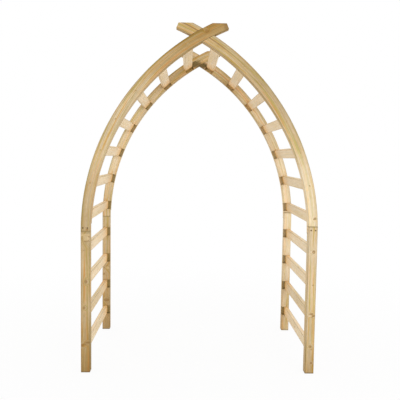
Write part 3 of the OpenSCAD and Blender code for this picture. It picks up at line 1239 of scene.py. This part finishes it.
# %% [markdown]
# The slats repeat, so one tree places them. A line of points gives each slat its number.
# From the number come its place and its tilt: the first four stand on the leg at equal
# steps of height, the rest lie on the curve at equal steps of angle. Each slat is a planed
# stick of its own with its own piece of the log.

# %% The tree of the slats
SLAT_EDGE = 0.0025
TONE_SPREAD = 0.12
LOG_SEED, TONE_SEED = 5, 9


def own_number(bench, low, high, seed):
    """A random number for each slat."""
    limits = {"Min_001": low, "Max_001": high, "Seed": seed}
    return bench.node("FunctionNodeRandomValue", {"data_type": "FLOAT"}, limits, output=1)


def put_at_points(bench, points, instance, turn):
    """Sets a copy of one shape at every point, turned by the angles given."""
    rotation = bench.node("FunctionNodeEulerToRotation", inputs={0: turn})
    copies = {"Points": points, "Instance": instance, "Rotation": rotation}
    return bench.node("GeometryNodeInstanceOnPoints", inputs=copies)


def slat_tree():
    """All the slats of one side."""
    sizes = ["Side", "Width", "Thickness", "Length", "Edge", "Leg Tone", "Curve Tone"]
    bench, size = geometry_bench("slats", sizes)
    line = bench.node("GeometryNodeMeshLine", inputs={"Count": LEG_SLATS + CURVE_SLATS})
    number = bench.node("GeometryNodeInputIndex")
    on_leg = bench.maths("LESS_THAN", number, LEG_SLATS - 0.5)
    on_curve = 1 - on_leg
    angle = FIRST_ANGLE + (number - LEG_SLATS) * ANGLE_PITCH
    radius = INNER_RADIUS + SLAT_MIDDLE
    curve_x = CURVE_X + radius * bench.maths("COSINE", angle)
    curve_z = INNER_HEIGHT + radius * bench.maths("SINE", angle)
    x = on_leg * (POST_INNER + SLAT_MIDDLE) + on_curve * curve_x
    z = on_leg * (LOWEST_SLAT + number * LEG_PITCH) + on_curve * curve_z
    place = {"Geometry": line, "Position": bench.vector(x * size["Side"], 0.0, z)}
    points = bench.node("GeometryNodeSetPosition", inputs=place)
    stick = planed_stick(bench, size["Thickness"], size["Width"], size["Length"], size["Edge"])
    tilt = bench.vector(0.0, angle * on_curve * size["Side"] * -1.0, 0.0)
    slats = put_at_points(bench, points, stick, tilt)
    slats = store(bench, slats, "stick", own_number(bench, 0.0, 1.0, LOG_SEED), domain="INSTANCE")
    shade = own_number(bench, -TONE_SPREAD, TONE_SPREAD, TONE_SEED)
    tone = on_leg * size["Leg Tone"] + on_curve * size["Curve Tone"] + shade
    slats = store(bench, slats, "tone", tone, domain="INSTANCE")
    return finish_tree(bench, slats, size["Finish"])


slats_tree = slat_tree()
print("slat tree has", len(slats_tree.nodes), "nodes")

# %% [markdown]
# The slats are the palest timber of the arch, and those on the curves are paler than those
# on the legs. Both sides come from the same tree. Its input Side is +1 or -1 and turns
# round the places and the tilts, so no mesh is mirrored and no face looks inwards.

# %% Slats
LEG_SLAT_TONES = {LEFT: 0.88, RIGHT: 0.92}
CURVE_SLAT_TONE = 1.0
for side, word in ((LEFT, "left"), (RIGHT, "right")):
    slats = from_tree(
        word + "_slats",
        slats_tree,
        {
            "Side": float(side),
            "Width": SLAT_WIDTH,
            "Thickness": SLAT_THICKNESS,
            "Length": SLAT_LENGTH,
            "Edge": SLAT_EDGE,
            "Leg Tone": LEG_SLAT_TONES[side],
            "Curve Tone": CURVE_SLAT_TONE,
            "Finish": slat_wood,
        },
    )
    ease_shading(slats)
    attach(slats, "root")
    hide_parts(*[f"{word}_slat_{n}" for n in range(1, LEG_SLATS + CURVE_SLATS + 1)])
    print(slats.name, len(slats.data.polygons), "faces")

# %% [markdown]
# A countersunk wood screw is a turned shape with a thread, so a tree takes a cylinder with
# many rows and moves every point in or out: a cone for the head, a plain shank, then a
# thread that climbs by one pitch a turn and runs out at the point. A cross is cut into the
# head. The points that come in say where each screw goes, which way it faces and how its
# cross happens to lie.

# %% The tree of the screws
THREAD_PITCH = 0.0036
THREAD_DEPTH = 0.0006
THREAD_START, THREAD_FULL = 0.012, 0.018
POINT_LENGTH = 0.007
POINT_BLUNTNESS = 0.02
CROSS_SLOT, CROSS_SPAN, CROSS_HEIGHT = 0.0011, 0.0060, 0.0039
SCREW_SIDES = 12
SCREW_ROWS = 72


def screw_tree():
    """A screw at each point of the mesh that comes in, turned by the point's aim."""
    sizes = ["Length", "Head Radius", "Head Height", "Shank Radius"]
    bench, size = geometry_bench("countersunk_screws", sizes)
    rows = {"Vertices": SCREW_SIDES, "Side Segments": SCREW_ROWS, "Radius": 1.0, "Depth": 1.0}
    rod = bench.node("GeometryNodeMeshCylinder", {"fill_type": "NGON"}, rows)
    place = bench.node("GeometryNodeInputPosition")
    depth = (place.part(2) + 0.5) * size["Length"]
    angle = bench.maths("ARCTAN2", place.part(1), place.part(0))
    taper = size["Head Radius"] - size["Shank Radius"]
    head = size["Head Radius"] - depth * taper / size["Head Height"]
    climb = bench.maths("FRACT", depth / THREAD_PITCH + angle / math.tau)
    ridge = 1 - bench.maths("ABSOLUTE", climb * 2.0 - 1.0)
    threaded = bench.smooth(depth, THREAD_START, THREAD_FULL)
    shank = size["Shank Radius"] - THREAD_DEPTH * threaded * (1 - ridge)
    point = bench.maths("MINIMUM", 1.0, (size["Length"] - depth) / POINT_LENGTH + POINT_BLUNTNESS)
    radius = bench.maths("MAXIMUM", head, shank * point)
    x, z = radius * bench.maths("COSINE", angle), radius * bench.maths("SINE", angle)
    turned_rod = {"Geometry": rod, "Position": bench.vector(x, depth, z)}
    shaped = bench.node("GeometryNodeSetPosition", inputs=turned_rod)
    arms = []
    for wide, high in ((CROSS_SLOT, CROSS_SPAN), (CROSS_SPAN, CROSS_SLOT)):
        arms.append(bench.node("GeometryNodeMeshCube", inputs={"Size": (wide, CROSS_HEIGHT, high)}))
    join, cut = [{"operation": word, "solver": "EXACT"} for word in ("UNION", "DIFFERENCE")]
    cross = bench.node("GeometryNodeMeshBoolean", join, {"Mesh 2": arms})
    screw = bench.node("GeometryNodeMeshBoolean", cut, {"Mesh 1": shaped, "Mesh 2": [cross]})
    vector = {"data_type": "FLOAT_VECTOR"}
    aim = bench.node("GeometryNodeInputNamedAttribute", vector, {"Name": "aim"})
    return finish_tree(bench, put_at_points(bench, size["Geometry"], screw, aim), size["Finish"])


screws_tree = screw_tree()
print("screw tree has", len(screws_tree.nodes), "nodes")

# %% [markdown]
# A screw goes wherever a hole was drilled: the long ones into the slats' ends, short ones
# through the half laps from outside, and short ones through the crossings from the inside.
# Nobody turns screws so that their crosses line up, so each gets a random turn.

# %% Driving the screws
SLAT_SCREW_LENGTH = 0.080
JOINT_SCREW_LENGTH = 0.050
SHARP_STEEL = math.radians(40)
head_depth = -FRONT_FACE - HEAD_SINK


def drive_screws(name, heads, length, steel, nodes):
    """Puts a screw at each (x, y, z, facing), where facing +1 points towards the back."""
    points = bpy.data.meshes.new(name)
    points.from_pydata([h[:3] for h in heads], [], [])
    aims = [(0.0, shuffle.uniform(0.0, math.pi), 0.0 if h[3] > 0 else math.pi) for h in heads]
    write_attribute(points, "aim", np.array(aims), "FLOAT_VECTOR")
    piece = from_tree(
        name,
        screws_tree,
        {
            "Length": length,
            "Head Radius": HEAD_RADIUS,
            "Head Height": HEAD_HEIGHT,
            "Shank Radius": SHANK_RADIUS,
            "Finish": steel,
        },
        points,
    )
    piece.data.shade_smooth()
    piece.data.set_sharp_from_angle(angle=SHARP_STEEL)
    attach(piece, "root")
    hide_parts(*nodes)
    print(name, len(heads), "screws,", len(piece.data.polygons), "faces")


for end in (FRONT, REAR):
    for side in (LEFT, RIGHT):
        heads = [(side * x, -end * head_depth, z, end) for x, z in slat_screws]
        corner = leg_name(end, side)
        nodes = [corner + "_slat_screws"]
        drive_screws(corner + "_long_screws", heads, SLAT_SCREW_LENGTH, slat_screw_steel, nodes)
    word = "front" if end == FRONT else "rear"
    heads = [(side * x, -end * head_depth, z, end) for side in (LEFT, RIGHT) for x, z in lap_screws]
    nodes = [word + "_lap_screws"]
    drive_screws(word + "_joint_screws", heads, JOINT_SCREW_LENGTH, joint_screw_steel, nodes)
    inner_face = -end * (-BACK_FACE + HEAD_SINK)
    heads = [(x, inner_face, z, -end) for x, z in crossing_screws]
    nodes = [word + "_crossing_screws"]
    drive_screws(word + "_apex_screws", heads, JOINT_SCREW_LENGTH, slat_screw_steel, nodes)

# %% [markdown]
# The photograph has a white ground and a white background. More light would bleach the
# timber, so the floor and the world show white only to the rays that see them, which are
# the camera's, mirrored ones and those through glass. The floor keeps a faint shadow.

# %% Floor
FLOOR_REACH = 30.0
FLOOR_HEIGHT = -0.0005
PLAIN_WHITE = (1.0, 1.0, 1.0, 1.0)
MATT_WHITE = (0.88, 0.88, 0.88, 1.0)


def seen_rays(bench):
    """1 for the rays that show the background: straight, mirrored or through glass."""
    kinds = ("Is Camera Ray", "Is Glossy Ray", "Is Transmission Ray")
    seen = [bench.node("ShaderNodeLightPath", output=kind) for kind in kinds]
    return bench.maths("MAXIMUM", bench.maths("MAXIMUM", seen[0], seen[1]), seen[2])


def make_floor():
    """A white ground that shows a faint shadow near the arch and none far off."""
    mesh = bpy.data.meshes.new("floor")
    signs = ((-1, -1), (1, -1), (1, 1), (-1, 1))
    edge = [(across * FLOOR_REACH, along * FLOOR_REACH, FLOOR_HEIGHT) for across, along in signs]
    mesh.from_pydata(edge, [], [(0, 1, 2, 3)])
    floor = new_object("floor", mesh)
    paper = bpy.data.materials.new("white_ground")
    bench = Bench(empty_tree(paper))
    place = bench.node("ShaderNodeTexCoord", output="Object")
    spread = bench.vector_maths("LENGTH", place, output="Value")
    shown_white = seen_rays(bench) * (0.93 + 0.07 * bench.smooth(spread, 0.8, 3.5))
    matt = bench.node("ShaderNodeBsdfDiffuse", inputs={"Color": MATT_WHITE})
    glow = bench.node("ShaderNodeEmission", inputs={"Color": PLAIN_WHITE, "Strength": 1.0})
    shown = bench.node("ShaderNodeMixShader", inputs={0: shown_white, 1: matt, 2: glow})
    bench.node("ShaderNodeOutputMaterial", inputs={"Surface": shown})
    mesh.materials.append(paper)
    return floor


print("floor:", make_floor().name)

# %% [markdown]
# The light is soft and comes from the front right. One wide round lamp gives the faces
# their shading, and a pale world fills the shadows. A smaller lamp would be harder than
# the photograph's light.

# %% World and lamp
def make_world():
    """Pale light from all round, a little weaker from above than from the sides."""
    world = bpy.data.worlds.new("pale_room")
    bench = Bench(empty_tree(world))
    height = bench.node("ShaderNodeTexCoord", output="Generated").part(2)
    ambient = 0.92 - 0.06 * bench.smooth(height, 0.0, 0.9)
    shown_white = seen_rays(bench)
    strength = shown_white + (1 - shown_white) * ambient
    sky = bench.node("ShaderNodeBackground", inputs={"Color": PLAIN_WHITE, "Strength": strength})
    bench.node("ShaderNodeOutputWorld", inputs={"Surface": sky})
    bpy.context.scene.world = world


def make_lamp(name, place, target, size, power):
    """A round lamp at a place, turned to face its target."""
    light = bpy.data.lights.new(name, "AREA")
    light.shape = "DISK"
    light.size = size
    light.energy = power
    lamp = new_object(name, light)
    lamp.location = place
    lamp.rotation_euler = (Vector(target) - Vector(place)).to_track_quat("-Z", "Y").to_euler()


make_world()
make_lamp("front_softbox", place=(5.2, -9.2, 3.4), target=(0.0, 0.0, 1.1), size=4.6, power=210.0)
bpy.context.scene.view_settings.view_transform = "Standard"
print("lamps:", [light.name for light in bpy.data.lights])

# %% [markdown]
# The camera stands where the photograph was taken: a pinhole was fitted to the edges of
# the posts, curves and slats. Its focal length is in photograph pixels, 400 to the width,
# and Blender wants it in millimetres for a sensor of a given width.

# %% Camera
FOCAL_PIXELS = 553.115
FRAME_PIXELS = 400
SENSOR_WIDTH = 36.0
CAMERA_PLACE = Vector((-0.08178, -3.94862, 1.38657))
CAMERA_YAW, CAMERA_PITCH, CAMERA_ROLL = 0.02316, 0.07711, -0.01431


def make_camera():
    """The photograph's camera, from where it stood and how it was turned."""
    data = bpy.data.cameras.new("camera")
    data.sensor_width = SENSOR_WIDTH
    data.sensor_fit = "HORIZONTAL"
    data.lens = SENSOR_WIDTH * FOCAL_PIXELS / FRAME_PIXELS
    camera = new_object("camera", data)
    ahead = Vector(
        (
            math.sin(CAMERA_YAW) * math.cos(CAMERA_PITCH),
            math.cos(CAMERA_YAW) * math.cos(CAMERA_PITCH),
            -math.sin(CAMERA_PITCH),
        )
    )
    level = Vector((math.cos(CAMERA_YAW), -math.sin(CAMERA_YAW), 0.0))
    down = ahead.cross(level)
    right = math.cos(CAMERA_ROLL) * level + math.sin(CAMERA_ROLL) * down
    up = math.sin(CAMERA_ROLL) * level - math.cos(CAMERA_ROLL) * down
    turn = Matrix((right, up, -ahead)).transposed()
    camera.matrix_world = Matrix.Translation(CAMERA_PLACE) @ turn.to_4x4()
    bpy.context.scene.camera = camera
    return camera


camera = make_camera()
print("lens", round(camera.data.lens, 2), "mm")

# %% [markdown] The arch that people see takes the place of the CAD model's parts, which are hidden.
# The arch that people see has to fill the same box as the CAD model, or it would touch things that
# the simulated one clears.
